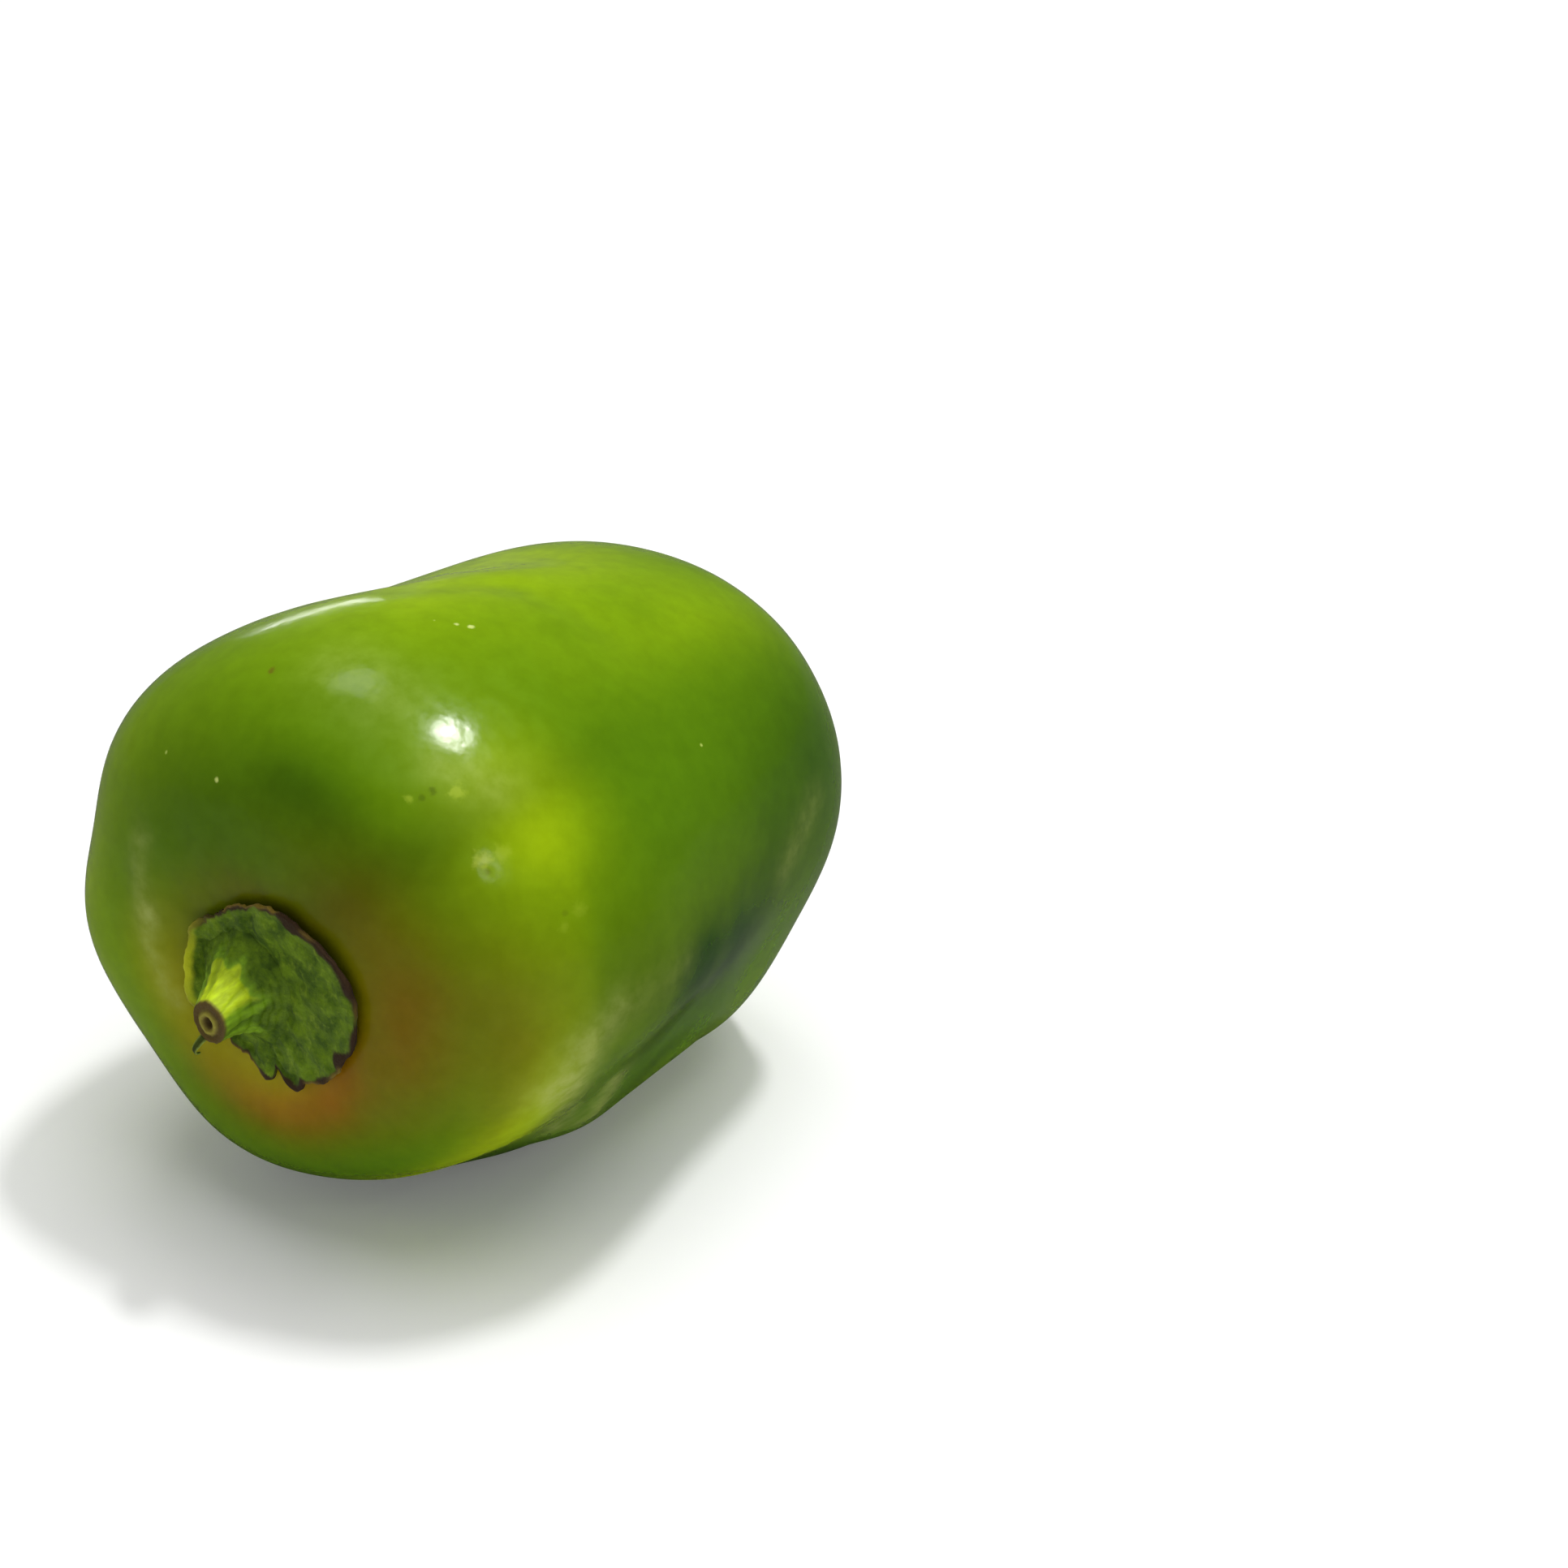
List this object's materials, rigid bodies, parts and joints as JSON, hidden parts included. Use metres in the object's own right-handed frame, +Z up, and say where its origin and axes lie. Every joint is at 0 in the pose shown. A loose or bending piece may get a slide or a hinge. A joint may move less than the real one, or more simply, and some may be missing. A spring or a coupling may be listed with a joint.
{
  "type": "chilli pepper",
  "caption": "Blocky green sweet chilli lying on its side, three-lobed pod with a ragged calyx and a short ribbed cut stem.",
  "frame": {"origin": "on the surface the fruit rests on, under the middle of its box", "axes": "+Z up; the fruit's long axis lies along Y, with the stem towards -Y and the blossom end towards +Y; +X is the fruit's right side seen from the stem"},
  "size_m": [0.0774, 0.0912, 0.0741],
  "materials": {
    "pod_skin": "waxy skin, gloss, yellow-green to deep green with an orange-brown blush at the calyx",
    "calyx_green": "velvety dark green with a dry brown rim",
    "stem_green": "satin, ribbed, with a corky brown cut end"
  },
  "bodies": {
    "root": {"pod": "pod_skin", "calyx": "calyx_green", "stem": "stem_green"}
  },
  "joints": []
}
